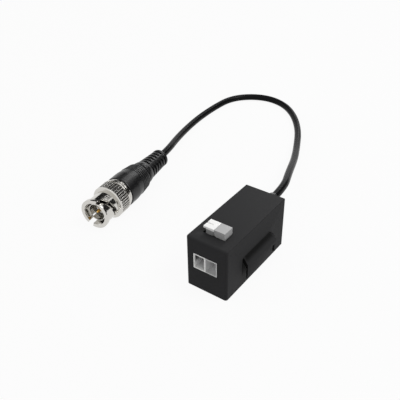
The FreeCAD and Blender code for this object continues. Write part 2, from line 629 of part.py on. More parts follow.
# Surge arrester, disc capacitors and chip resistors on the board
ARRESTER_Z = BOARD_TOP + " + arrester_radius"
arrester_tube = rod("arrester_tube", "arrester_radius",
                    ("-arrester_length/2", ARRESTER_Y, ARRESTER_Z), "arrester_length",
                    Vector(1, 0, 0))
arrester_legs = [
    joined(f"arrester_leg_{word}",
           rod(f"arrester_drop_{word}", "0.8*leg_radius",
               (f"{side}*(arrester_length/2 + leg_reach)", ARRESTER_Y, BOARD_TOP),
               "arrester_radius"),
           rod(f"arrester_arm_{word}", "leg_radius",
               (f"{side}*(arrester_length/2 + leg_reach + leg_radius)", ARRESTER_Y, ARRESTER_Z),
               "2*leg_reach", Vector(-side, 0, 0)))
    for word, side in (("left", -1), ("right", 1))]
node("surge_arrester", joined("surge_arrester_body", arrester_tube, *arrester_legs))

DISC_Y = f"{ARRESTER_Y} + arrester_radius + disc_gap"
discs = []
for number, side in enumerate((-1, 1), start=1):
    disc_x = f"{side}*disc_spacing/2"
    disc = rod(f"disc_{number}", "disc_radius",
               (disc_x, DISC_Y, BOARD_TOP + " + disc_lift + disc_radius"), "disc_thickness",
               Vector(0, 1, 0))
    legs = [rod(f"disc_{number}_leg_{word}", "leg_radius",
                (f"{disc_x} + {shift}*disc_radius/2", DISC_Y + " + disc_thickness/2",
                 BOARD_TOP), "disc_lift + disc_radius")
            for word, shift in (("left", -1), ("right", 1))]
    discs.append(joined(f"disc_capacitor_{number}", disc, *legs))
capacitors = doc.addObject("Part::Compound", "capacitors")
capacitors.Links = discs
node("disc_capacitors", capacitors)

chips = doc.addObject("Part::Compound", "chips")
CHIP_X = "board_right_width - chip_inset"
chip_links = []
for number in range(int(size("chip_count"))):
    chip_y = f"{TRANSFORMER_Y} + ({number} - (chip_count - 1)/2)*chip_pitch"
    chip_links.append(block(f"chip_{number + 1}",
                            (CHIP_X + " - chip_width/2", CHIP_X + " + chip_width/2"),
                            (f"{chip_y} - chip_length/2", f"{chip_y} + chip_length/2"),
                            (BOARD_TOP, BOARD_TOP + " + chip_height")))
chips.Links = chip_links
node("chip_resistors", chips)

# Lead outlet: a snap-in grommet in the rear wall, drawn upright and laid along +Y
LEAD_BORE = "lead_diameter/2 + lead_gap"
grommet = turned("grommet", [
    (LEAD_BORE, "-wall - fit_gap - flange_thickness"),
    ("flange_radius", "-wall - fit_gap - flange_thickness"),
    ("flange_radius", "-wall - fit_gap"), ("neck_radius", "-wall - fit_gap"),
    ("neck_radius", "fit_gap"), ("collar_radius", "fit_gap"),
    ("collar_radius", "collar_length"), ("lead_diameter/2 + grommet_tip", "grommet_length"),
    (LEAD_BORE, "grommet_length")])
along_y = Rotation(Vector(1, 0, 0), Vector(0, 0, -1), Vector(0, 1, 0), "ZXY")
node("outlet_grommet", grommet, Placement(
    Vector(0, size("housing_depth") / 2, size("outlet_height")), along_y))

# Plug: every piece is drawn along its own Z, from the mouth at 0 to the lead, then laid down
heading = math.radians(size("plug_heading"))
plug_axis = Vector(math.cos(heading), math.sin(heading), 0)
plug_mouth = Vector(size("plug_x"), size("plug_y"), size("knurl_radius") + size("floor_gap"))
laid_down = Placement(plug_mouth, Rotation(Vector(0, 0, 1), Vector(0, 0, 0), plug_axis, "ZXY"))

# Coupling nut: rim, slotted sleeve, knurled band, rear lip and the web that holds it captive.
# Between the body's flange and the web, the spring and thrust washers leave the nut's travel.
KNURL_END = "knurl_start + knurl_length"
NUT_END = KNURL_END + " + neck_length + lip_length"
SHOULDER_END = "shoulder_start + shoulder_length"
WASHER_FRONT = SHOULDER_END + " + washer_thickness + bow_height + nut_travel + spin_gap"
WASHER_REAR = WASHER_FRONT + " + washer_thickness"
WEB_FRONT = WASHER_REAR + " + spin_gap"
nut_blank = turned("nut_blank", [
    ("sleeve_bore", 0), ("rim_radius - rim_bevel", 0), ("rim_radius", "rim_bevel"),
    ("rim_radius", "rim_length"), ("sleeve_radius", "rim_length"),
    ("sleeve_radius", "knurl_start"),
    ("knurl_radius - knurl_chamfer", "knurl_start"),
    ("knurl_radius", "knurl_start + knurl_chamfer"),
    ("knurl_radius", KNURL_END + " - knurl_chamfer"),
    ("knurl_radius - knurl_chamfer", KNURL_END), ("neck_bottom", KNURL_END),
    ("neck_bottom", KNURL_END + " + neck_length"), ("lip_radius", KNURL_END + " + neck_length"),
    ("lip_radius", NUT_END), ("spigot_radius + spin_gap", NUT_END),
    ("spigot_radius + spin_gap", WEB_FRONT), ("chamber_radius", WEB_FRONT),
    ("chamber_radius", "chamber_start"), ("sleeve_bore", "chamber_start")])

groove_tool = doc.addObject("Part::Feature", "knurl_grooves")
groove_share = 0.8
groove_half = groove_share * math.pi * size("knurl_radius") / size("knurl_count")
groove_tip = size("knurl_radius") - size("knurl_depth")
flare = groove_half * PAST / size("knurl_depth")
groove_outline = Part.makePolygon([
    Vector(groove_tip, 0, 0), Vector(groove_tip + PAST, -flare, 0),
    Vector(groove_tip + PAST, flare, 0), Vector(groove_tip, 0, 0)])
one_groove = Part.Face(groove_outline).extrude(
    Vector(0, 0, size("knurl_length") - size("knurl_margin") - size("plain_length")))
one_groove.translate(Vector(0, 0, size("knurl_start") + size("knurl_margin")))
grooves = []
for number in range(int(size("knurl_count"))):
    groove = one_groove.copy()
    groove.rotate(Vector(0, 0, 0), Vector(0, 0, 1), 360 * number / size("knurl_count"))
    grooves.append(groove)
groove_tool.Shape = Part.makeCompound(grooves)

slot_cutters = []
slot_reach = size("rim_radius") + PAST
for side in (0, 180):
    entry = Part.makeBox(slot_reach, size("slot_width"), size("slot_entry") + PAST,
                         Vector(0, -size("slot_width") / 2, -PAST))
    start_eye = Part.makeCylinder(size("slot_width") / 2, slot_reach,
                                  Vector(0, 0, size("slot_entry")), Vector(1, 0, 0))
    turn_end = math.radians(size("slot_sweep"))
    end_direction = Vector(math.cos(turn_end), math.sin(turn_end), 0)
    end_eye = Part.makeCylinder(size("slot_eye"), slot_reach,
                                Vector(0, 0, size("slot_entry") + size("slot_climb")),
                                end_direction)
    pitch = size("slot_climb") * 360 / size("slot_sweep")
    track = Part.makeHelix(pitch, size("slot_climb"), size("sleeve_radius"))
    half = size("slot_width") / 2
    inside = size("sleeve_bore") - PAST
    across = Part.makePolygon([
        Vector(inside, 0, -half), Vector(slot_reach, 0, -half), Vector(slot_reach, 0, half),
        Vector(inside, 0, half), Vector(inside, 0, -half)])
    ramp = Part.Wire(track.Edges).makePipeShell([across], True, True)
    ramp.translate(Vector(0, 0, size("slot_entry")))
    cutter = entry.multiFuse([start_eye, end_eye, ramp])
    cutter.rotate(Vector(0, 0, 0), Vector(0, 0, 1), size("slot_rest") + side)
    slot_cutters.append(cutter)
slot_tool = doc.addObject("Part::Feature", "bayonet_slots")
slot_tool.Shape = Part.makeCompound(slot_cutters)
nut_knurled = without("nut_knurled", nut_blank, groove_tool)
node("coupling_nut", without("coupling_nut_body", nut_knurled, slot_tool), laid_down)

# Plug body: flange, journal for the nut, groove for the ring and the crimp stem
CLIP_START = NUT_END + " + clip_gap"
CLIP_END = CLIP_START + " + clip_length"
SPIGOT_END = CLIP_END + " + spigot_tail"
STEM_END = SPIGOT_END + " + stem_length"
CRIMP_END = SPIGOT_END + " + crimp_length"
CONTACT_END = "shoulder_start + contact_seat"
node("plug_body", turned("plug_body_turned", [
    ("contact_radius + lead_gap", "shoulder_start"), ("shoulder_radius", "shoulder_start"),
    ("shoulder_radius", SHOULDER_END), ("spigot_radius", SHOULDER_END),
    ("spigot_radius", CLIP_START), ("spigot_radius - clip_depth", CLIP_START),
    ("spigot_radius - clip_depth", CLIP_END), ("spigot_radius", CLIP_END),
    ("spigot_radius", SPIGOT_END), ("stem_radius", SPIGOT_END),
    ("stem_radius", STEM_END), ("pin_radius + 2*lead_gap", STEM_END),
    ("pin_radius + 2*lead_gap", "insulator_rear"), ("insulator_radius", "insulator_rear"),
    ("insulator_radius", CONTACT_END), ("contact_radius + lead_gap", CONTACT_END)]), laid_down)

# Outer contact: a thin sleeve slit into spring fingers
contact_tube = turned("contact_tube", [
    ("contact_radius - contact_wall", "contact_start"),
    ("contact_radius - contact_bevel", "contact_start"),
    ("contact_radius", "contact_start + 2*contact_bevel"), ("contact_radius", CONTACT_END),
    ("contact_radius - contact_wall", CONTACT_END)])
slits = doc.addObject("Part::Feature", "finger_slits")
slit_length = size("finger_length")
slit_shapes = []
for number in range(int(size("finger_count"))):
    slit = Part.makeBox(size("contact_radius") + PAST, size("finger_slit"), slit_length + PAST,
                        Vector(0, -size("finger_slit") / 2, size("contact_start") - PAST))
    slit.rotate(Vector(0, 0, 0), Vector(0, 0, 1), 360 * (number + 0.5) / size("finger_count"))
    slit_shapes.append(slit)
slits.Shape = slit_shapes[0].multiFuse(slit_shapes[1:])
node("outer_contact", without("outer_contact_body", contact_tube, slits), laid_down)

# Insulator, centre pin, face seal, washers, retaining ring and crimp sleeve
node("plug_insulator", turned("plug_insulator_turned", [
    ("pin_radius + pin_gap", "insulator_front"), ("insulator_radius", "insulator_front"),
    ("insulator_radius", CONTACT_END + " - insulator_seat"),
    ("contact_radius - contact_wall", CONTACT_END + " - insulator_seat"),
    ("contact_radius - contact_wall", CONTACT_END), ("insulator_radius", CONTACT_END),
    ("insulator_radius", "insulator_rear"), ("pin_radius + pin_gap", "insulator_rear")]),
    laid_down)
node("centre_pin", turned("centre_pin_turned", [
    (0, "pin_start"), ("pin_radius/2", "pin_start"), ("pin_radius", "pin_start + pin_taper"),
    ("pin_radius", "pin_end"), (0, "pin_end")]), laid_down)
node("face_seal", turned("face_seal_turned", [
    ("contact_radius", "shoulder_start - gasket_length"),
    ("gasket_radius", "shoulder_start - gasket_length"), ("gasket_radius", "shoulder_start"),
    ("contact_radius", "shoulder_start")]), laid_down)
node("thrust_washer", turned("thrust_washer_turned", [
    ("spigot_radius + washer_gap", WASHER_FRONT), ("washer_radius", WASHER_FRONT),
    ("washer_radius", WASHER_REAR), ("spigot_radius + washer_gap", WASHER_REAR)]), laid_down)

BOW_RADIUS = "((washer_radius*washer_radius + bow_height*bow_height)/(2*bow_height))"
bow_start = (0, f"-washer_radius - {PAST}", f"{SHOULDER_END} + {BOW_RADIUS} + washer_thickness")
bow_outside = rod("bow_outside", f"{BOW_RADIUS} + washer_thickness", bow_start,
                  f"2*washer_radius + {2 * PAST}", Vector(0, 1, 0))
bow_inside = rod("bow_inside", BOW_RADIUS, bow_start, f"2*washer_radius + {2 * PAST}",
                 Vector(0, 1, 0))
washer_ring = turned("washer_ring", [
    ("spigot_radius + washer_gap", "shoulder_start"), ("washer_radius", "shoulder_start"),
    ("washer_radius", WEB_FRONT), ("spigot_radius + washer_gap", WEB_FRONT)])
node("spring_washer", common("spring_washer_body", washer_ring,
                             without("bow_band", bow_outside, bow_inside)), laid_down)

clip_ring = turned("clip_ring", [
    ("spigot_radius - clip_depth", CLIP_START), ("clip_radius", CLIP_START),
    ("clip_radius", CLIP_END), ("spigot_radius - clip_depth", CLIP_END)])
clip_mouth = block("clip_mouth", (0, "2*clip_radius"),
                   ("-clip_radius*sin(clip_opening/2)", "clip_radius*sin(clip_opening/2)"),
                   (f"{CLIP_START} - {PAST}", f"{CLIP_END} + {PAST}"))
node("retaining_ring", without("retaining_ring_body", clip_ring, clip_mouth), laid_down)
node("crimp_sleeve", turned("crimp_sleeve_turned", [
    ("stem_radius + lead_gap", SPIGOT_END), ("crimp_radius", SPIGOT_END),
    ("crimp_radius", CRIMP_END), ("stem_radius + lead_gap", CRIMP_END)]), laid_down)

# Boot: grip, taper, waist and a ribbed strain relief, moulded as one
BOOT_START = NUT_END + " + boot_gap"
GRIP_END = BOOT_START + " + grip_length"
TAPER_END = GRIP_END + " + taper_length"
WAIST_START = TAPER_END + " + waist_slope"
WAIST_END = WAIST_START + " + waist_length"
BULB_END = WAIST_END + " + bulb_round + bulb_straight"
RELIEF_START = BULB_END + " + bulb_slope"
RELIEF_END = RELIEF_START + " + relief_length"
BOOT_END = RELIEF_END + " + end_collar"
RIB_STEP = "relief_length/rib_count"
boot_outline = [
    ("clip_radius + fit_gap", BOOT_START), ("boot_radius - boot_bevel", BOOT_START),
    ("boot_radius", BOOT_START + " + boot_bevel"), ("boot_radius", GRIP_END),
    ("taper_radius", TAPER_END), ("(taper_radius + waist_radius)/2", WAIST_START),
    ("waist_radius", WAIST_START), ("waist_radius", WAIST_END),
    ("bulb_radius - bulb_round", WAIST_END), ("bulb_radius", WAIST_END + " + bulb_round"),
    ("bulb_radius", BULB_END), ("rib_first", RELIEF_START)]
for number in range(int(size("rib_count"))):
    foot = f"{RELIEF_START} + {number}*{RIB_STEP}"
    radius = f"rib_first - (rib_first - rib_last)*{number + 0.5}/rib_count"
    boot_outline += [
        (f"{radius} - rib_groove", f"{foot} + 0.05*{RIB_STEP}"),
        (f"{radius} - rib_groove", f"{foot} + 0.42*{RIB_STEP}"),
        (radius, f"{foot} + 0.47*{RIB_STEP}"), (radius, f"{foot} + {RIB_STEP}")]
boot_outline += [
    ("rib_last - rib_groove", f"{RELIEF_END} + 0.05*{RIB_STEP}"),
    ("rib_last - rib_groove", f"{RELIEF_END} + 0.35*{RIB_STEP}"),
    ("end_radius", f"{RELIEF_END} + 0.4*{RIB_STEP}"), ("end_radius", BOOT_END + " - end_bevel"),
    ("end_radius - end_bevel", BOOT_END), (LEAD_BORE, BOOT_END), (LEAD_BORE, CRIMP_END),
    ("crimp_radius + fit_gap", CRIMP_END), ("crimp_radius + fit_gap", SPIGOT_END + " + fit_gap"),
    ("spigot_radius + fit_gap", SPIGOT_END + " + fit_gap"),
    ("spigot_radius + fit_gap", CLIP_END + " + fit_gap"),
    ("clip_radius + fit_gap", CLIP_END + " + fit_gap")]
boot_turned = turned("plug_boot_turned", boot_outline)
bridges = []
BRIDGE_LOW = f"(({LEAD_BORE} + rib_last - rib_groove)/2)"
for number in range(int(size("rib_count")) + 1):
    radius = f"(rib_first - (rib_first - rib_last)*{number + 0.5}/rib_count)"
    station = (f"{RELIEF_START} + ({number} - 0.1)*{RIB_STEP}",
               f"{RELIEF_START} + ({number} + 0.6)*{RIB_STEP}")
    for word, turn in (("near", 0), ("far", 180)):
        angle = f"(bridge_angle + {turn})"
        bridge = block(f"bridge_{number}_{word}", (0, f"{radius} - bridge_sink - {BRIDGE_LOW}"),
                       (0, "bridge_width"), station)
        bridge.Placement.Rotation = Rotation(Vector(0, 0, 1), size("bridge_angle") + turn)
        bind(bridge,
             Placement__Base__x=f"{BRIDGE_LOW}*cos({angle}) + bridge_width/2*sin({angle})",
             Placement__Base__y=f"{BRIDGE_LOW}*sin({angle}) - bridge_width/2*cos({angle})")
        bridges.append(bridge)
node("plug_boot", joined("plug_boot_body", boot_turned, *bridges), laid_down)

# Lead: one round tube laid on the floor, straight runs joined by tangent arcs
lead_radius = size("lead_diameter") / 2
rear_line = size("housing_depth") / 2
outlet_height = size("outlet_height")
lead_start = Vector(0, rear_line - size("wall") - size("flange_thickness")
                    - size("lead_inside"), outlet_height)
nut_end = sum(size(alias) for alias in ("knurl_start", "knurl_length", "neck_length",
                                         "lip_length"))
crimp_end = nut_end + sum(size(alias) for alias in ("clip_gap", "clip_length", "spigot_tail",
                                                    "crimp_length"))
boot_end = nut_end + sum(size(alias) for alias in (
    "boot_gap", "grip_length", "taper_length", "waist_slope", "waist_length", "bulb_round",
    "bulb_straight", "bulb_slope", "relief_length", "end_collar"))
lead_end = plug_mouth + plug_axis * crimp_end
lead_route = [
    lead_start,
    Vector(0, 34.0, 14.2),
    Vector(-7.0, 52.0, 10.6),
    Vector(-13.5, 69.5, 6.0),
    Vector(-21.0, 86.5, 2.6),
    Vector(-29.0, 103.0, 1.7),
    Vector(-38.5, 116.0, 1.75),
    Vector(-49.0, 124.6, 1.7),
    Vector(-60.5, 127.0, 1.75),
    Vector(-71.0, 122.8, 1.7),
    Vector(-78.0, 114.0, 1.75),
    Vector(-79.5, 101.0, 1.7),
    Vector(-79.0, 83.0, 1.75),
    Vector(-74.0, 61.0, 3.2),
    plug_mouth + plug_axis * (boot_end + size("lead_straight")),
    lead_end,
]


def rounded_path(points):
    """Straight runs joined by arcs, each arc as large as the shorter of its two runs allows."""
    edges = []
    radii = []
    here = points[0]
    for before, corner, after in zip(points, points[1:], points[2:]):
        back = (before - corner).normalize()
        ahead = (after - corner).normalize()
        half_turn = (math.pi - back.getAngle(ahead)) / 2
        reach = 0.45 * min(before.distanceToPoint(corner), corner.distanceToPoint(after))
        radii.append(reach / math.tan(half_turn))
        enter = corner + back * reach
        leave = corner + ahead * reach
        inward = (back + ahead).normalize()
        middle = corner + inward * (radii[-1] / math.cos(half_turn) - radii[-1])
        edges.append(Part.LineSegment(here, enter).toShape())
        edges.append(Part.Arc(enter, middle, leave).toShape())
        here = leave
    edges.append(Part.LineSegment(here, points[-1]).toShape())
    return Part.Wire(edges), radii


lead_path, lead_radii = rounded_path(lead_route)
lead_section = Part.Wire(Part.makeCircle(lead_radius, lead_route[0],
                                         lead_route[1] - lead_route[0]))
lead = doc.addObject("Part::Feature", "lead_tube")
lead.Shape = lead_path.makePipeShell([lead_section], True, True)
node("lead", lead)
print("lead radii", [round(radius, 1) for radius in lead_radii])
print("lead length", round(lead_path.Length, 1), "volume against section times length",
      round(lead.Shape.Volume / (math.pi * lead_radius ** 2 * lead_path.Length), 5))

# Inner conductor and twisted screen of the lead, soldered to the board
board_top = size("board_height") + size("board_thickness")
for label, radius, side, split in (("core_wire", size("core_radius"), 1, 0),
                                   ("screen_wire", size("braid_radius"), -1, size("tail_split"))):
    begin = lead_start + Vector(side * split, -size("tail_gap"), 0)
    bend = begin + Vector(side * size("tail_bend"), size("tail_bend") - size("tail_length"),
                          -size("tail_bend"))
    foot = Vector(side * size("tail_spread"), begin.y - size("tail_length"),
                  board_top + size("tail_gap"))
    section = Part.Wire(Part.makeCircle(radius, begin, bend - begin))
    tail = doc.addObject("Part::Feature", f"{label}_tail")
    mitred = 1
    tail.Shape = Part.makePolygon([begin, bend, foot]).makePipeShell([section], True, True, mitred)
    node(label, tail)

# Check every object and every sub-part before anything is written
doc.recompute()
for item in doc.Objects:
    if "Invalid" in item.State or "Error" in item.State:
        raise RuntimeError(f"{item.Label} failed: {item.State}")
for item in nodes:
    if item.Shape.isNull() or not item.Shape.isValid():
        raise RuntimeError(f"{item.Label} has no valid shape")
    if not item.Shape.Solids:
        raise RuntimeError(f"{item.Label} has no solid")

os.makedirs("parts", exist_ok=True)
for item in nodes:
    item.Shape.exportStep(os.path.join("parts", f"{item.Label}.step"))
    print(item.Label, len(item.Shape.Solids), round(item.Shape.Volume, 2))
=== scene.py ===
"""Looks of the passive video balun: a matte black box with a push-in terminal, and a short
coaxial lead that ends in a bayonet video plug.  Metres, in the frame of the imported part."""

import json
import math

import bmesh
import bpy
from mathutils import Matrix, Vector


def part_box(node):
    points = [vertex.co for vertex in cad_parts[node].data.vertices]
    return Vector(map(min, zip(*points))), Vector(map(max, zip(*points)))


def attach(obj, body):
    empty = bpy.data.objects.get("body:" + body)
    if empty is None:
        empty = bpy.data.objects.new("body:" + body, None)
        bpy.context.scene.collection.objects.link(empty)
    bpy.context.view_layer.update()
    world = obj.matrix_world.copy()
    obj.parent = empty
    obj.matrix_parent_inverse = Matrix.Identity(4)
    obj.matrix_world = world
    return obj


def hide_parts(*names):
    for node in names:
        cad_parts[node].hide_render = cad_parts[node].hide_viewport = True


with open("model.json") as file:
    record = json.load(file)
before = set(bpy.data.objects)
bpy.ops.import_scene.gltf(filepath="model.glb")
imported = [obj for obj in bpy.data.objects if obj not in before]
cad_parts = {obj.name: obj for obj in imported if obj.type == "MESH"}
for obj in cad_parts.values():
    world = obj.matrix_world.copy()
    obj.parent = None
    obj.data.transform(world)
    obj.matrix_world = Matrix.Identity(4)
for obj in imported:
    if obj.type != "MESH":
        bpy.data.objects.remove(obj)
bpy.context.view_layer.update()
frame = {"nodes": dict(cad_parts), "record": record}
MM = 0.001


# Camera: about 230 mm from the box, 36 degrees to the right of the wire entries and 35 degrees
# above the table, with the small roll of a camera held by hand.
def linked(name, data):
    """A new object in the scene."""
    made = bpy.data.objects.new(name, data)
    bpy.context.scene.collection.objects.link(made)
    return made


right = Vector((0.81137, 0.58437, -0.01403))
upward = Vector((-0.32465, 0.47046, 0.82053))
backward = Vector((0.48609, -0.66120, 0.57143))
camera_spot = Vector((91.5, -146.88, 149.01)) * MM
camera_data = bpy.data.cameras.new("camera")
camera_data.sensor_width = 36
camera_data.lens = 54.13
camera_data.clip_start = 0.01
camera = linked("camera", camera_data)
camera.matrix_world = Matrix.Translation(camera_spot) @ Matrix(
    (right, upward, backward)).transposed().to_4x4()
bpy.context.scene.camera = camera


# Housing: the five outer walls of the box with the joining rail, injection-moulded in black
# ABS.  The walls are one shot of plastic, softly rounded at the front and crisp elsewhere.
def linear(code):
    """An sRGB hex colour as linear values with alpha."""
    channels = [int(code[k:k + 2], 16) / 255 for k in (1, 3, 5)]
    return [c / 12.92 if c <= 0.04045 else ((c + 0.055) / 1.055) ** 2.4 for c in channels] + [1]


def add(tree, kind, inputs=(), **settings):
    """Add a node with its settings; an input is given a value or another node's output."""
    made = tree.nodes.new(kind)
    for key, value in settings.items():
        setattr(made, key, value)
    for socket, value in dict(inputs).items():
        if isinstance(value, bpy.types.NodeSocket):
            tree.links.new(value, made.inputs[socket])
        else:
            made.inputs[socket].default_value = value
    return made


def new_material(name, code, **inputs):
    """A material with one surface shader, its tree and the object coordinates."""
    made = bpy.data.materials.new(name)
    made.use_nodes = True
    tree = made.node_tree
    shader = tree.nodes["Principled BSDF"]
    shader.inputs["Base Color"].default_value = linear(code)
    for key, value in inputs.items():
        shader.inputs[key.replace("_", " ")].default_value = value
    place = add(tree, "ShaderNodeTexCoord").outputs["Object"]
    return made, tree, shader, place


def moulded(name, code, grain, depth, rough, **inputs):
    """Moulded plastic: its mould's fine grain as bump, and a gloss that varies with it."""
    made, tree, shader, place = new_material(name, code, **inputs)
    mottle = add(tree, "ShaderNodeTexNoise", {
        "Vector": place, "Scale": 1 / (grain * MM), "Detail": 4.0, "Roughness": 0.6})
    gloss = add(tree, "ShaderNodeMapRange", {
        "Value": mottle.outputs["Fac"], "From Min": 0.3, "From Max": 0.7,
        "To Min": rough[0], "To Max": rough[1]})
    relief = add(tree, "ShaderNodeBump", {
        "Height": mottle.outputs["Fac"], "Strength": 0.5, "Distance": depth * MM})
    tree.links.new(gloss.outputs["Result"], shader.inputs["Roughness"])
    tree.links.new(relief.outputs["Normal"], shader.inputs["Normal"])
    return made


def plain(piece):
    """Turn what the modifiers give into the piece's own mesh and take them off."""
    bpy.context.view_layer.update()
    ready = piece.evaluated_get(bpy.context.evaluated_depsgraph_get())
    mesh = bpy.data.meshes.new_from_object(ready)
    piece.modifiers.clear()
    piece.data = mesh
    return piece


def smoothed(piece, width=0.0, sharp=40):
    """Round the edges by a width in mm, then shade smoothly up to an angle, with flat faces
    that stay flat beside their rounded edges."""
    if width:
        edge = piece.modifiers.new("edges", "BEVEL")
        edge.width = width * MM
        edge.segments = 2
        edge.limit_method = "ANGLE"
        edge.angle_limit = math.radians(35)
        plain(piece)
    piece.data.shade_smooth()
    piece.data.set_sharp_from_angle(angle=math.radians(sharp))
    evened = piece.modifiers.new("evened", "WEIGHTED_NORMAL")
    evened.keep_sharp = True
    return plain(piece)


def softened(name, node, width=0.0):
    """A copy of a CAD node with its corners merged and, given a width in mm, its edges rounded a
    little.
    """
    mesh = frame["nodes"][node].data.copy()
    mesh.materials.clear()
    work = bmesh.new()
    work.from_mesh(mesh)
    bmesh.ops.remove_doubles(work, verts=work.verts, dist=0.001 * MM)
    if width:
        bmesh.ops.dissolve_limit(work, angle_limit=math.radians(0.5), verts=work.verts,
                                 edges=work.edges)
    work.to_mesh(mesh)
    work.free()
    return smoothed(linked(name, mesh), width)


def settle(piece, material, body, *nodes):
    """Give a piece its material and its body, and hide the CAD nodes that it stands for."""
    piece.data.materials.clear()
    piece.data.materials.append(material)
    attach(piece, body)
    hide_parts(*nodes)
    return piece


# Spark-eroded ABS: matte, with a fine grain that turns the light into an even dark grey; the
# real grain is about 0.1 mm, and it is drawn at 0.35 mm so that it shows at all.
black_abs = moulded("spark_eroded_abs", "#2c2c2d", 0.35, 0.02, (0.5, 0.64), IOR=1.53,
                    Specular_IOR_Level=0.04)


def turning(material, code, *ramps):
    """Turn a material to another colour where every ramp is full: each is an axis with the
    places in mm where the change begins and ends."""
    tree = material.node_tree
    colour = tree.nodes["Principled BSDF"].inputs["Base Color"]
    place = add(tree, "ShaderNodeTexCoord").outputs["Object"]
    spot = add(tree, "ShaderNodeSeparateXYZ", {"Vector": place})
    share = 1.0
    for axis, begins, ends in ramps:
        ramp = add(tree, "ShaderNodeMapRange", {
            "Value": spot.outputs[axis], "From Min": begins * MM, "From Max": ends * MM},
            interpolation_type="SMOOTHSTEP")
        share = add(tree, "ShaderNodeMath", {0: share, 1: ramp.outputs["Result"]},
                    operation="MULTIPLY").outputs["Value"]
    before = colour.links[0].from_socket if colour.is_linked else tuple(colour.default_value)
    # Sockets 6 and 7 are the mix's two colours, and output 2 is the mixed one
    tint = add(tree, "ShaderNodeMix", {0: share, 6: before, 7: linear(code)}, data_type="RGBA")
    tree.links.new(tint.outputs[2], colour)
    return material


# A soft shade lies 2 mm wide in the hollow where the rail's slope grows out of the side, and
# the rail's open front end is in deep shade
turning(black_abs, "#090909", ("Z", 9.9, 12.0), ("Z", 14.1, 12.4), ("Y", -9.8, -7.6),
        ("Y", 11.0, 8.4), ("X", 8.45, 8.6))
turning(black_abs, "#050505", ("Y", -9.9, -9.4), ("Y", -8.8, -8.95), ("X", 8.35, 8.45),
        ("Z", 4.0, 6.0), ("Z", 12.6, 12.0))
settle(softened("housing", "housing_shell"), black_abs, "balun", "housing_shell")

# Bottom cover: a flat plate of the same ABS that snaps into the housing from below; four posts
# on it carry the circuit board.
settle(softened("cover", "bottom_cover"), black_abs, "balun", "bottom_cover")

# Circuit board: 1.6 mm glass-fibre laminate under a green solder mask, pressed onto the posts;
# it carries the terminal and everything that is soldered.
mask, tree, shader, place = new_material("solder_mask", "#1f5a33", Roughness=0.32, IOR=1.5)
# The copper tracks, 0.8 mm wide and 2.4 mm apart, show through the mask as lighter stripes
tracks = add(tree, "ShaderNodeTexBrick", {
    "Vector": place, "Color1": linear("#1f5a33"), "Color2": linear("#235f37"),
    "Mortar": linear("#2f7a48"), "Scale": 1.0, "Mortar Size": 0.4 * MM,
    "Brick Width": 7.2 * MM, "Row Height": 2.4 * MM})
tree.links.new(tracks.outputs["Color"], shader.inputs["Base Color"])
tree.links.new(add(tree, "ShaderNodeBump", {
    "Height": tracks.outputs["Fac"], "Strength": 0.4, "Distance": 0.035 * MM}).outputs["Normal"],
    shader.inputs["Normal"])
settle(softened("board", "circuit_board", 0.08), mask, "balun", "circuit_board")


# Push-in terminal: two glass-filled nylon mouldings side by side, white for the left pole and
# grey for the right one, with the frames of the wire entries in the box's front.
def satin_nylon(name, code):
    """Glass-filled nylon, whose fine even grain spreads a highlight into a satin sheen."""
    return moulded(name, code, 0.25, 0.01, (0.38, 0.48), IOR=1.53)


# Painted shade greys the left entry behind its frame and darkens it towards the top
# Painted light makes the right entry paler further in, against the shade that falls there
frame_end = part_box("left_terminal")[0].y / MM + 0.2
pole_nylon = {
    "left": turning(satin_nylon("white_nylon", "#f2f2f0"), "#eeeeee",
                    ("Y", frame_end, frame_end + 1.0)),
    "right": turning(satin_nylon("pale_grey_nylon", "#c6c6c6"), "#e6e6e6",
                     ("Y", frame_end, frame_end + 2.3))}
turning(pole_nylon["left"], "#202020", ("Y", frame_end, frame_end + 1.0), ("Z", 10.2, 12.9))
for word, nylon in pole_nylon.items():
    settle(softened(f"{word}_pole", f"{word}_terminal", 0.05), nylon, "balun",
           f"{word}_terminal")

# Release levers: two small nylon keys that stand out of the box's top; pressing one opens the
# clamp behind its wire entry.  The left one is white, and painted shade greys it below its top.
key_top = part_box("left_lever")[1].z / MM
key_nylon = {
    "left": turning(satin_nylon("white_key_nylon", "#f4f4f3"), "#8e8e8e",
                    ("Z", key_top - 0.85, key_top - 1.0)),
    "right": satin_nylon("grey_key_nylon", "#a9a9a9")}
for word, nylon in key_nylon.items():
    settle(softened(f"{word}_key", f"{word}_lever", 0.12), nylon, f"{word}_lever",
           f"{word}_lever")


# Contacts and clamping leaves: current bars stamped from tinned copper, and leaves bent from
# spring steel that press the wire against them.
def metal(name, code, stroke, rough, along=(1, 1, 1), **inputs):
    """Metal with fine strokes along one axis, from rolling, turning or brushing."""
    made, tree, shader, place = new_material(name, code, Metallic=1.0, **inputs)
    stretched = add(tree, "ShaderNodeMapping", {"Vector": place, "Scale": along})
    strokes = add(tree, "ShaderNodeTexNoise", {
        "Vector": stretched.outputs["Vector"], "Scale": 1 / (stroke * MM), "Detail": 3.0})
    gloss = add(tree, "ShaderNodeMapRange", {
        "Value": strokes.outputs["Fac"], "From Min": 0.35, "From Max": 0.65,
        "To Min": rough[0], "To Max": rough[1]})
    relief = add(tree, "ShaderNodeBump", {
        "Height": strokes.outputs["Fac"], "Strength": 0.15, "Distance": 0.01 * MM})
    tree.links.new(gloss.outputs["Result"], shader.inputs["Roughness"])
    tree.links.new(relief.outputs["Normal"], shader.inputs["Normal"])
    return made


def dress(material, *nodes):
    """Give CAD nodes whose shape is right their material."""
    for name in nodes:
        mesh = frame["nodes"][name].data
        mesh.materials.clear()
        mesh.materials.append(material)


# Tinned copper is bright but soft and cloudy; rolled spring steel is darker, with fine strokes
tinned_copper = metal("tinned_copper", "#c9c9c4", 0.5, (0.28, 0.42))
spring_steel = metal("rolled_spring_steel", "#a9a9a8", 0.2, (0.22, 0.36), (1, 1, 0.1))
dress(tinned_copper, "left_contact", "right_contact")
dress(spring_steel, "left_clamp_spring", "right_clamp_spring")

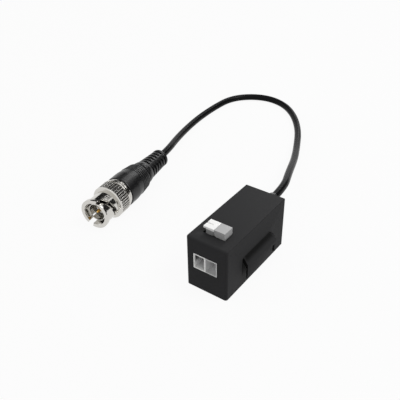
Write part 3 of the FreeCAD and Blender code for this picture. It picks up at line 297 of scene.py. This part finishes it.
# Signal transformer: a sintered ferrite ring on a nylon foot, wound by hand with twelve turns
# of enamelled copper wire.
dress(moulded("sintered_ferrite", "#3a3a3c", 0.15, 0.02, (0.55, 0.75), IOR=1.6), "ferrite_ring")
dress(moulded("black_nylon", "#202021", 0.25, 0.01, (0.4, 0.5), IOR=1.53), "transformer_foot")
# Enamelled copper: metal seen through amber varnish, whose clear coat keeps sharp highlights
enamelled_copper = metal("enamelled_copper", "#b4632f", 0.3, (0.25, 0.35), Coat_Weight=0.8,
                         Coat_Roughness=0.08)


def repeated(name, sizes):
    """A node tree with a named number for each size and a material, its start and those numbers."""
    tree = bpy.data.node_groups.new(name, "GeometryNodeTree")
    tree.interface.new_socket("Geometry", in_out="OUTPUT", socket_type="NodeSocketGeometry")
    for key, value in sizes.items():
        kind = "NodeSocketInt" if isinstance(value, int) else "NodeSocketFloat"
        tree.interface.new_socket(key, in_out="INPUT", socket_type=kind)
    start = tree.nodes.new("NodeGroupInput").outputs
    tree.interface.new_socket("Material", in_out="INPUT", socket_type="NodeSocketMaterial")
    return tree, {key: start[key] for key in sizes}, start


def grown(tree, geometry, start, sizes, material, place):
    """End a tree, run it with its sizes and give the result as a plain mesh in its place."""
    whole = add(tree, "GeometryNodeRealizeInstances", {"Geometry": geometry})
    dressed = add(tree, "GeometryNodeSetMaterial", {
        "Geometry": whole.outputs["Geometry"], "Material": start["Material"]})
    end = tree.nodes.new("NodeGroupOutput")
    tree.links.new(dressed.outputs["Geometry"], end.inputs[0])
    piece = linked(tree.name, bpy.data.meshes.new(tree.name))
    maker = piece.modifiers.new("maker", "NODES")
    maker.node_group = tree
    for socket in tree.interface.items_tree:
        if socket.in_out == "INPUT":
            maker[socket.identifier] = material if socket.name == "Material" else sizes[socket.name]
    plain(piece)
    piece.data.transform(place)
    return smoothed(piece)


ring_low, ring_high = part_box("ferrite_ring")
ring_middle = (ring_low + ring_high) / 2
ring_radius, ring_wall, wire_radius = 4.0 * MM, 1.8 * MM, 0.225 * MM
# On each side of the ring the wire's middle line runs a little over its radius away
wire_room = 2.3 * wire_radius
sizes = {"Turns": 12, "Wire Radius": wire_radius, "Ring Radius": ring_radius - ring_wall / 2,
         "Loop Width": ring_wall + wire_room,
         "Loop Height": ring_high.z - ring_low.z + wire_room}
tree, given, start = repeated("winding", sizes)
loop = add(tree, "GeometryNodeCurvePrimitiveQuadrilateral", {
    "Width": given["Loop Width"], "Height": given["Loop Height"]})
bent = add(tree, "GeometryNodeFilletCurve", {
    "Curve": loop.outputs["Curve"], "Radius": 0.35 * MM, "Count": 3}, mode="POLY")
section = add(tree, "GeometryNodeCurvePrimitiveCircle", {
    "Resolution": 10, "Radius": given["Wire Radius"]})
turn = add(tree, "GeometryNodeCurveToMesh", {
    "Curve": bent.outputs["Curve"], "Profile Curve": section.outputs["Curve"]})
upright = add(tree, "GeometryNodeTransform", {
    "Geometry": turn.outputs["Mesh"], "Rotation": (math.radians(90), 0, 0)})
spots = add(tree, "GeometryNodeMeshCircle", {
    "Vertices": given["Turns"], "Radius": given["Ring Radius"]})
outward = add(tree, "FunctionNodeAlignRotationToVector", {
    "Vector": add(tree, "GeometryNodeInputPosition").outputs["Position"]}, axis="X")
turns = add(tree, "GeometryNodeInstanceOnPoints", {
    "Points": spots.outputs["Mesh"], "Instance": upright.outputs["Geometry"],
    "Rotation": outward.outputs["Rotation"]})
winding = grown(tree, turns.outputs["Instances"], start, sizes, enamelled_copper,
                Matrix.Translation(ring_middle))
settle(winding, enamelled_copper, "balun", "transformer_winding")

# Small parts: a glazed ceramic surge arrester with tinned ends, two dipped disc capacitors and
# three chip resistors, all soldered to the board.
dress(moulded("glazed_ceramic", "#e4e0d6", 1.2, 0.005, (0.12, 0.2), IOR=1.6), "surge_arrester")
dress(moulded("dipped_epoxy", "#2a5c98", 0.6, 0.02, (0.25, 0.35), IOR=1.55), "disc_capacitors")
dress(moulded("chip_glaze", "#1c1c1e", 0.2, 0.005, (0.3, 0.45), IOR=1.5), "chip_resistors")
dress(enamelled_copper, "core_wire")
dress(tinned_copper, "screen_wire")


# Outlet grommet: a soft PVC sleeve that snaps into the rear wall and tapers onto the lead, so
# that the lead can't be pulled out or bent sharply there.
def built(name, work, place=Matrix.Identity(4)):
    """A new object in the scene from a finished bmesh, laid into its place."""
    mesh = bpy.data.meshes.new(name)
    work.to_mesh(mesh)
    work.free()
    mesh.transform(place)
    return linked(name, mesh)


def lathe(name, outline, place, around=96, reach=lambda corner, angle: corner[0]):
    """A turned piece: a closed outline of (radius, station) corners in mm, spun about Z.  A
    reach gives the radius of a corner at each angle, where it isn't the same all round."""
    work = bmesh.new()
    rings = []
    for corner in outline:
        ring = []
        for angle in (math.tau * k / around for k in range(around)):
            radius = reach(corner, angle) * MM
            ring.append(work.verts.new((radius * math.cos(angle), radius * math.sin(angle),
                                        corner[1] * MM)))
        rings.append(ring)
    for here, ahead in zip(rings, rings[1:] + rings[:1]):
        for k in range(around):
            after = (k + 1) % around
            work.faces.new((here[k], here[after], ahead[after], ahead[k]))
    bmesh.ops.remove_doubles(work, verts=work.verts, dist=0.001 * MM)
    bmesh.ops.recalc_face_normals(work, faces=work.faces)
    return built(name, work, place)


# Soft PVC: a satin black that picks up a broad highlight
soft_pvc = moulded("moulded_soft_pvc", "#131314", 0.5, 0.008, (0.27, 0.35), IOR=1.52,
                   Specular_IOR_Level=0.34)
rear_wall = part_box("housing_shell")[1].y
outlet_height = 14.5
outlet_place = Matrix.Translation((0, rear_wall, outlet_height * MM)) @ Matrix.Rotation(
    math.radians(-90), 4, "X")
lead_bore, neck_radius, flange_radius, collar_radius, tip_radius = 3.36 / 2, 3.1, 4.1, 3.9, 2.4
flange_start, wall_inside, wall_outside, collar_end, tip_end = -2.4, -1.4, 0.1, 1.2, 7.0
grommet = lathe("grommet", [
    (lead_bore, flange_start), (flange_radius, flange_start), (flange_radius, wall_inside),
    (neck_radius, wall_inside), (neck_radius, wall_outside), (collar_radius, wall_outside),
    (collar_radius, collar_end), (tip_radius, tip_end), (lead_bore, tip_end)], outlet_place, 64)
settle(smoothed(grommet, 0.2), soft_pvc, "balun", "outlet_grommet")

# Lead: a coaxial cable 3.3 mm thick with a black PVC jacket, extruded and slightly glossy.  It
# leaves the grommet, bends down to the table, lies in one loose turn and ends in the boot.
jacket, tree, shader, place = new_material("extruded_pvc", "#101011", IOR=1.52,
                                           Specular_IOR_Level=0.06)
# The jacket follows the strands below it, which breaks up its long clear highlight a little
uneven = add(tree, "ShaderNodeTexNoise", {"Vector": place, "Scale": 1 / (5.0 * MM), "Detail": 1.0})
gloss = add(tree, "ShaderNodeMapRange", {
    "Value": uneven.outputs["Fac"], "To Min": 0.2, "To Max": 0.34})
relief = add(tree, "ShaderNodeBump", {
    "Height": uneven.outputs["Fac"], "Strength": 0.3, "Distance": 0.02 * MM})
tree.links.new(gloss.outputs["Result"], shader.inputs["Roughness"])
tree.links.new(relief.outputs["Normal"], shader.inputs["Normal"])

mouth = {mount["name"]: mount for mount in frame["record"]["mounts"]}["plug_mouth"]
plug_mouth = Vector(mouth["pos_m"])
plug_axis = -Vector(mouth["axis"])
# The line's control points in mm: out of the grommet, down to the table, round and to the boot
lead_route = [
    (0, 15.2, outlet_height), (0, 34.0, 14.2), (-7.0, 52.0, 10.6), (-13.5, 69.5, 6.0),
    (-21.0, 86.5, 2.6), (-29.0, 103.0, 1.7), (-38.5, 116.0, 1.75), (-49.0, 124.6, 1.7),
    (-60.5, 127.0, 1.75), (-71.0, 122.8, 1.7), (-78.0, 114.0, 1.75), (-79.5, 101.0, 1.7),
    (-79.0, 83.0, 1.75), (-74.0, 61.0, 3.2)]
lead_route = [Vector(spot) * MM for spot in lead_route]
lead_route += [plug_mouth + plug_axis * station * MM for station in (54, 30)]
lead_curve = bpy.data.curves.new("lead_line", "CURVE")
lead_curve.dimensions = "3D"
spline = lead_curve.splines.new("NURBS")
spline.points.add(len(lead_route) - 1)
for point, spot in zip(spline.points, lead_route):
    point.co = (*spot, 1)
spline.order_u = 3
spline.use_endpoint_u = True
spline.resolution_u = 24
lead_curve.bevel_depth = 3.3 / 2 * MM
lead_curve.bevel_resolution = 6
lead_curve.use_fill_caps = True
lead = linked("lead_jacket", lead_curve)
settle(lead, jacket, "balun", "lead")


# Coupling nut: turned from brass, knurled and plated with bright nickel.  Two bayonet slots
# run from its rim to a round end, and its web turns on the plug's body behind them.
def cut(piece, cutter):
    """Take a cutting shape out of a piece."""
    saw = piece.modifiers.new("cut", "BOOLEAN")
    saw.object = cutter
    saw.solver = "EXACT"
    plain(piece)
    bpy.data.objects.remove(cutter)
    return piece


def wrapped(name, outline, inside, outside):
    """A prism round the plug's axis: a closed outline of (degrees, station) corners that runs
    from an inner to an outer radius in mm."""
    work = bmesh.new()
    loops = []
    for radius in (inside, outside):
        loops.append([work.verts.new((radius * MM * math.cos(math.radians(degrees)),
                                      radius * MM * math.sin(math.radians(degrees)),
                                      station * MM)) for degrees, station in outline])
    inner, outer = loops
    for k in range(len(outline)):
        after = (k + 1) % len(outline)
        work.faces.new((inner[k], inner[after], outer[after], outer[k]))
    work.faces.new(inner)
    work.faces.new(outer)
    bmesh.ops.triangulate(work, faces=[face for face in work.faces if len(face.verts) > 4])
    bmesh.ops.recalc_face_normals(work, faces=work.faces)
    return built(name, work)


# Bright nickel: a mirror with a warm tint, a little hazed by the lathe's fine marks
bright_nickel = metal("bright_nickel", "#cfcdc8", 0.35, (0.08, 0.16))
plug_side = Vector((plug_axis.y, -plug_axis.x, 0))
laid_down = Matrix.Translation(plug_mouth) @ Matrix(
    (Vector((0, 0, 1)), plug_side, plug_axis)).transposed().to_4x4()
# Radii and stations in mm from the plug's mouth, from the rim back to the tail
sleeve_bore, sleeve_radius, rim_radius, rim_end = 4.9, 5.85, 6.45, 1.3
knurl_radius, knurl_foot, knurl_start, knurl_end, chamfer = 7.25, 6.83, 8.7, 15.7, 0.4
ridge_start, ridge_end = knurl_start + 0.75, knurl_end - 1.3
groove_radius, groove_end, tail_radius, nut_end = 6.0, knurl_end + 0.3, 6.7, 17.0
chamber_radius, chamber_start, chamber_end, tail_bore = 5.45, 8.9, 12.3, 4.15
nut = lathe("bayonet_nut", [
    (sleeve_bore, 0), (rim_radius, 0), (rim_radius, rim_end), (sleeve_radius, rim_end),
    (sleeve_radius, knurl_start), (knurl_radius - chamfer, knurl_start),
    (knurl_radius, knurl_start + chamfer), (knurl_radius, ridge_start),
    (knurl_foot, ridge_start), (knurl_foot, ridge_end), (knurl_radius, ridge_end),
    (knurl_radius, knurl_end - chamfer), (knurl_radius - chamfer, knurl_end),
    (groove_radius, knurl_end), (groove_radius, groove_end), (tail_radius, groove_end),
    (tail_radius, nut_end), (tail_bore, nut_end), (tail_bore, chamber_end),
    (chamber_radius, chamber_end), (chamber_radius, chamber_start),
    (sleeve_bore, chamber_start)], Matrix.Identity(4), 128)
# A slot's edge on the unrolled sleeve, as (way round, station) in mm: in from the rim, round a
# bend, up the ramp, about the eye that the pin snaps into, and back
slot_half, eye_radius = 2.3 / 2, 1.3
entry_end, climb, sweep = 3.2, 3.4, 80.0
ramp_run = math.radians(sweep) * sleeve_radius
ramp = Vector((ramp_run, climb))
slope = ramp.normalized()
eye = Vector((ramp_run, entry_end + climb))
ramp_steps, eye_steps = 16, 28
eye_open = math.acos(-math.sqrt(eye_radius ** 2 - (slot_half * slope.x) ** 2) / eye_radius)
slot_edge = [Vector((-slot_half, -1))]
slot_edge += [Vector((-slot_half * math.cos(a), entry_end + slot_half * math.sin(a)))
              for a in (math.radians(9 * k) for k in range(11))]
slot_edge += [ramp * k / ramp_steps + Vector((0, entry_end + slot_half))
              for k in range(1, ramp_steps - 1)]
slot_edge += [eye + Matrix.Rotation(eye_open * (1 - 2 * k / eye_steps), 2) @ slope * eye_radius
              for k in range(eye_steps + 1)]
slot_edge += [ramp * k / ramp_steps + Vector((0, entry_end - slot_half))
              for k in range(ramp_steps - 2, 2, -1)]
slot_edge += [Vector((slot_half, entry_end - slot_half + slot_half * climb / ramp_run)),
              Vector((slot_half, -1))]
for turn in (205.0, 25.0):
    outline = [(turn + math.degrees(run / sleeve_radius), station) for run, station in slot_edge]
    cut(nut, wrapped("slot_cutter", outline, 4.0, 12.0))
nut.data.transform(laid_down)
settle(smoothed(nut, 0.1, 50), bright_nickel, "coupling_nut", "coupling_nut")
# Between the ridges the nickel is a dark, rougher copy: painted shade on the floor that hardly sees
# the light
nut.data.materials.append(metal("dull_nickel", "#2b2a29", 0.35, (0.4, 0.55)))
for face in nut.data.polygons:
    along = plug_axis.dot(face.center - plug_mouth) / MM
    aside = (face.center - plug_mouth - plug_axis * along * MM).length / MM
    if ridge_start + 0.05 < along < ridge_end - 0.05 and abs(aside - knurl_foot) < 0.1:
        face.material_index = 1

# Straight knurl: round-backed ridges rolled into the band, 1.1 mm apart; the real ones are about
# 0.7 mm apart, which is too fine to show
ridge_radius, sunk = 0.36, 0.1
sizes = {"Ridges": 40, "Band Radius": (knurl_radius - ridge_radius) * MM,
         "Ridge Radius": ridge_radius * MM,
         "Ridge Length": (ridge_end - ridge_start + 2 * sunk) * MM,
         "Start": (ridge_start - sunk) * MM}
tree, given, start = repeated("knurl", sizes)
spine = add(tree, "GeometryNodeCurvePrimitiveLine", {
    "Direction": (0, 0, 1), "Length": given["Ridge Length"]}, mode="DIRECTION")
section = add(tree, "GeometryNodeCurvePrimitiveCircle", {
    "Resolution": 10, "Radius": given["Ridge Radius"]})
ridge = add(tree, "GeometryNodeCurveToMesh", {
    "Curve": spine.outputs["Curve"], "Profile Curve": section.outputs["Curve"],
    "Fill Caps": True})
band = add(tree, "GeometryNodeMeshCircle", {
    "Vertices": given["Ridges"], "Radius": given["Band Radius"]})
seat = add(tree, "ShaderNodeCombineXYZ", {"Z": given["Start"]})
seated = add(tree, "GeometryNodeTransform", {
    "Geometry": band.outputs["Mesh"], "Translation": seat.outputs["Vector"]})
ridges = add(tree, "GeometryNodeInstanceOnPoints", {
    "Points": seated.outputs["Geometry"], "Instance": ridge.outputs["Mesh"]})
knurl = grown(tree, ridges.outputs["Instances"], start, sizes, bright_nickel, laid_down)
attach(knurl, "coupling_nut")

# Inside the nut: two steel washers, the bowed spring washer that pushes the nut back, and the
# ring that is snapped behind the nut's web.
settle(softened("thrust_ring", "thrust_washer", 0.05), spring_steel, "nut_washer",
       "thrust_washer")
dress(spring_steel, "spring_washer", "retaining_ring")

# Plug body and contacts: a turned and nickel-plated body with the slotted outer sleeve pressed
# into it, a gold-flashed pin in a white PTFE bush, and a silicone ring that seals the face.
settle(softened("body", "plug_body", 0.08), bright_nickel, "balun", "plug_body")
settle(softened("sleeve", "outer_contact", 0.08), bright_nickel, "balun", "outer_contact")
settle(softened("ferrule", "crimp_sleeve", 0.1), bright_nickel, "balun", "crimp_sleeve")
gold_flash = metal("gold_flash", "#e6bd6a", 0.3, (0.18, 0.28))
settle(softened("pin", "centre_pin", 0.06), gold_flash, "balun", "centre_pin")
# Turned PTFE is waxy and a little warm; silicone is dull and soft
ptfe = moulded("turned_ptfe", "#ecebe6", 0.3, 0.01, (0.4, 0.5), IOR=1.38)
settle(softened("bush", "plug_insulator", 0.06), ptfe, "balun", "plug_insulator")
silicone = moulded("silicone_rubber", "#77777a", 0.4, 0.02, (0.55, 0.7), IOR=1.41)
dress(silicone, "face_seal")

# Boot: soft black PVC moulded over the plug's rear.  Its plain grip tapers over a band of fine
# rings to a waist, and the ribbed tail, held together by bridges, lets the lead bend gently.
grip_radius, taper_drop, taper_start, taper_end, taper_steps = 7.0, 1.1, 22.7, 32.1, 24
rib_start, rib_step, rib_count, groove_depth = 36.8, 2.12, 5, 0.95
crest_start, crest_drop = 4.75, 0.7
bridge_angles, bridge_half = (43.0, 223.0), 1.7 / 2
boot_bore, plug_bore = 1.72, 5.1
boot_line = [(plug_bore, 17.3), (6.5, 17.3), (6.86, 17.42), (grip_radius, 17.75)]
boot_line += [(grip_radius - taper_drop * k / taper_steps,
               taper_start + (taper_end - taper_start) * k / taper_steps)
              for k in range(taper_steps + 1)]
# The step down to the waist, the waist and the collar in front of the ribs
boot_line += [(5.82, 32.3), (4.78, 32.62), (4.6, 32.8), (4.6, 33.25), (4.72, 33.42),
              (5.05, 33.55), (5.25, 33.85), (5.25, 34.85), (5.19, 35.2),
              (4.83, rib_start - 0.12), (4.72, rib_start)]
groove_corners = set()
for rib in range(rib_count + 1):
    foot = rib_start + rib * rib_step
    crest = crest_start - crest_drop * (rib + 0.7) / rib_count
    floor_radius = crest - groove_depth
    groove = [(floor_radius + 0.12, foot + 0.1), (floor_radius, foot + 0.22),
              (floor_radius, foot + 0.74), (floor_radius + 0.12, foot + 0.87)]
    groove_corners.update(groove)
    boot_line += groove
    if rib < rib_count:
        boot_line += [(crest - 0.08, foot + 0.98), (crest, foot + 1.1),
                      (crest - 0.04, foot + rib_step - 0.08), (crest - 0.12, foot + rib_step)]
boot_line += [(3.97, 48.36), (4.05, 48.5), (4.05, 49.6), (3.93, 49.88), (3.65, 50.0),
              (boot_bore, 50.0), (boot_bore, 27.9), (plug_bore, 27.9)]


def bridged(corner, angle):
    """The boot's radius: inside a bridge the grooves are filled to just under the ribs' tops."""
    radius, station = corner
    turns = [angle - math.radians(middle) for middle in bridge_angles]
    on_bridge = any(math.cos(turn) > 0 and abs(math.sin(turn)) * radius < bridge_half
                    for turn in turns)
    if not on_bridge or corner not in groove_corners:
        return radius
    crest = crest_start - crest_drop * (station - rib_start) / (rib_count * rib_step)
    return max(radius, crest - 0.2)


boot = lathe("boot", boot_line, laid_down, 144, bridged)
settle(smoothed(boot, 0.0, 32), soft_pvc, "balun", "plug_boot")

# The fine rings stand a little proud of the taper, 1.15 mm apart; the real ones are finer, about
# 0.6 mm apart, which is too fine to show
sizes = {"Rings": 5, "Pitch": 1.15 * MM, "Last Ring": 31.4 * MM, "Last Radius": 5.93 * MM,
         "Taper": taper_drop / (taper_end - taper_start), "Half Width": 0.24 * MM}
tree, given, start = repeated("fine_rings", sizes)
line = add(tree, "GeometryNodeMeshLine", {"Count": given["Rings"]})
count = add(tree, "GeometryNodeInputIndex")
back = add(tree, "ShaderNodeMath", {0: count.outputs["Index"], 1: given["Pitch"]},
           operation="MULTIPLY")
station = add(tree, "ShaderNodeMath", {0: given["Last Ring"], 1: back.outputs["Value"]},
              operation="SUBTRACT")
wider = add(tree, "ShaderNodeMath", {
    0: back.outputs["Value"], 1: given["Taper"], 2: given["Last Radius"]},
    operation="MULTIPLY_ADD")
seat = add(tree, "ShaderNodeCombineXYZ", {"Z": station.outputs["Value"]})
spots = add(tree, "GeometryNodeSetPosition", {
    "Geometry": line.outputs["Mesh"], "Position": seat.outputs["Vector"]})
hoop = add(tree, "GeometryNodeCurvePrimitiveCircle", {"Resolution": 120, "Radius": 1.0})
# A ring is made at a radius of 1 and shrunk to its place, so its section is made that much wider
section_radius = add(tree, "ShaderNodeMath", {
    0: given["Half Width"], 1: given["Last Radius"]}, operation="DIVIDE")
section = add(tree, "GeometryNodeCurvePrimitiveCircle", {
    "Resolution": 10, "Radius": section_radius.outputs["Value"]})
ring = add(tree, "GeometryNodeCurveToMesh", {
    "Curve": hoop.outputs["Curve"], "Profile Curve": section.outputs["Curve"]})
stack = add(tree, "GeometryNodeInstanceOnPoints", {
    "Points": spots.outputs["Geometry"], "Instance": ring.outputs["Mesh"],
    "Scale": wider.outputs["Value"]})
fine_rings = grown(tree, stack.outputs["Instances"], start, sizes, soft_pvc, laid_down)
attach(fine_rings, "balun")

plug_pieces = [nut, knurl, boot, fine_rings] + [
    bpy.data.objects[name] for name in ("thrust_ring", "body", "sleeve", "ferrule", "pin", "bush")]
plug_pieces += [frame["nodes"][name] for name in ("spring_washer", "retaining_ring", "face_seal")]


# Studio: a white paper floor that shines on its own to the camera, so that it is white and
# still keeps a faint shadow, one soft lamp from the right and above, and a white surround.
def sheet(name, material, place):
    """A square sheet with sides of 1 m, laid into its place."""
    work = bmesh.new()
    bmesh.ops.create_grid(work, x_segments=1, y_segments=1, size=0.5)
    made = built(name, work, place)
    made.data.materials.append(material)
    return made


def facing(spot, target=(0, 0, 0)):
    """A place at a spot, turned so that a lamp there shines at the target."""
    away = Vector(spot) - Vector(target)
    return Matrix.Translation(spot) @ away.to_track_quat("Z", "Y").to_matrix().to_4x4()


def watched(tree):
    """One for rays from the camera, from glossy surfaces and through clear ones, else zero."""
    rays = add(tree, "ShaderNodeLightPath").outputs
    share = rays["Is Camera Ray"]
    for kind in ("Is Glossy Ray", "Is Transmission Ray"):
        share = add(tree, "ShaderNodeMath", {0: share, 1: rays[kind]},
                    operation="MAXIMUM").outputs["Value"]
    return share


# Most of the paper's white is its own shine; the small lit share is what takes the shadow
paper, tree, shader, _ = new_material("white_paper", "#cfcfcf", Roughness=0.9)
share = add(tree, "ShaderNodeMath", {0: watched(tree), 1: 0.93}, operation="MULTIPLY")
shine = add(tree, "ShaderNodeEmission", {"Color": (1, 1, 1, 1), "Strength": 1.0})
mixed = add(tree, "ShaderNodeMixShader", {
    0: share.outputs["Value"], 1: shader.outputs["BSDF"], 2: shine.outputs["Emission"]})
tree.links.new(mixed.outputs["Shader"], tree.nodes["Material Output"].inputs["Surface"])
floor = sheet("floor", paper, Matrix.Diagonal((6, 6, 1, 1)))

# The main lamp lights the top and the right side; the rear one only draws the long highlights
for name, spot, width, height, watts in (
        ("main_lamp", (0.45, 0.2, 0.75), 0.35, 0.35, 3.1),
        ("rear_lamp", (-0.125, 0.52, 0.41), 0.12, 0.34, 2.8)):
    lamp_data = bpy.data.lights.new(name, "AREA")
    lamp_data.shape = "RECTANGLE"
    lamp_data.size = width
    lamp_data.size_y = height
    lamp_data.energy = watts
    lamp = linked(name, lamp_data)
    lamp.matrix_world = facing(spot)
    lamp.visible_diffuse = name == "main_lamp"

# Black cards round the plug, seen by nothing but glossy surfaces, give its nickel dark bands
black_card = new_material("black_card", "#080808", Roughness=0.8)[0]
plug_middle = (-0.058, -0.01, 0.007)
for name, spot, width, height in (
        ("low_card", (0.243, 0.375, 0.17), 0.8, 0.32),
        ("high_card", (-0.25, 0.38, 0.365), 0.8, 0.32)):
    card = sheet(name, black_card,
                 facing(spot, plug_middle) @ Matrix.Diagonal((width, height, 1, 1)))
    card.visible_camera = card.visible_diffuse = card.visible_shadow = False

# The surround shows pure white, and lights the object a third less brightly than it shows
world = bpy.data.worlds.new("surround")
world.use_nodes = True
bpy.context.scene.world = world
surround = world.node_tree.nodes["Background"]
surround.inputs["Color"].default_value = (1, 1, 1, 1)
strength = add(world.node_tree, "ShaderNodeMapRange", {
    "Value": watched(world.node_tree), "To Min": 0.66, "To Max": 1.0})
world.node_tree.links.new(strength.outputs["Result"], surround.inputs["Strength"])

bpy.context.scene.view_settings.view_transform = "Standard"
